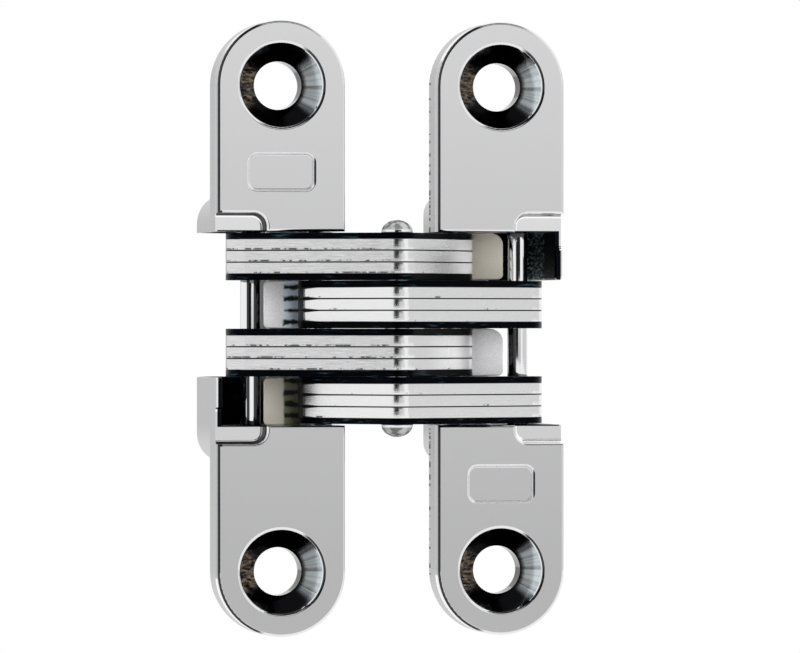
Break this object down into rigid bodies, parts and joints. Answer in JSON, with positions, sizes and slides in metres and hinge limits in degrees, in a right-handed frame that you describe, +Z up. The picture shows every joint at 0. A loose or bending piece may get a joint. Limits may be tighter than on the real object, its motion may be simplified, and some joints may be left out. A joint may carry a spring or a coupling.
{
  "type": "invisible hinge",
  "caption": "Concealed mortise hinge: two round-ended screw-on leaves joined by crossed laminated links that fold into their housings.",
  "frame": {"origin": "middle of the gap between the two leaves, in the plane of their visible faces, halfway up the hinge", "axes": "+Z up along the pins, +X from the left leaf to the right leaf, +Y into the mortises"},
  "size_m": [0.0346, 0.0211, 0.0604],
  "materials": {
    "leaf_chrome": "bright chrome plate",
    "pin_steel": "bright plated steel",
    "link_steel": "ground and plated edges",
    "dark_cheek": "dark oiled steel"
  },
  "bodies": {
    "left_leaf": {"left_leaf": "leaf_chrome", "left_fixed_pin": "pin_steel"},
    "even_links": {"link_2_upper_cheek": "dark_cheek", "link_2_upper_plate": "link_steel", "link_2_middle_plate": "link_steel", "link_2_lower_plate": "link_steel", "link_2_lower_cheek": "dark_cheek", "link_4_upper_cheek": "dark_cheek", "link_4_upper_plate": "link_steel", "link_4_middle_plate": "link_steel", "link_4_lower_plate": "link_steel", "link_4_lower_cheek": "dark_cheek", "centre_pin": "pin_steel", "right_slide_pin": "pin_steel"},
    "odd_links": {"link_1_upper_cheek": "dark_cheek", "link_1_upper_plate": "link_steel", "link_1_middle_plate": "link_steel", "link_1_lower_plate": "link_steel", "link_1_lower_cheek": "dark_cheek", "link_3_upper_cheek": "dark_cheek", "link_3_upper_plate": "link_steel", "link_3_middle_plate": "link_steel", "link_3_lower_plate": "link_steel", "link_3_lower_cheek": "dark_cheek", "left_slide_pin": "pin_steel"},
    "right_leaf": {"right_leaf": "leaf_chrome", "right_fixed_pin": "pin_steel"}
  },
  "joints": [
    {"name": "fold", "type": "hinge", "parent": "left_leaf", "child": "even_links", "pos_m": [-0.0068, 0.0041, 0], "axis": [0, 0, -1], "range_deg": [0, 106.32]},
    {"name": "cross", "type": "hinge", "parent": "even_links", "child": "odd_links", "pos_m": [0, -0.0024, 0], "axis": [0, 0, 1], "range_deg": [0, 32.64]},
    {"name": "follow", "type": "hinge", "parent": "odd_links", "child": "right_leaf", "pos_m": [0.0068, 0.0041, 0], "axis": [0, 0, -1], "range_deg": [0, 106.32]}
  ],
  "couplings": [
    {"joint": "cross", "follows": "fold", "ratio": 0.30694},
    {"joint": "follow", "follows": "fold", "ratio": 1}
  ]
}
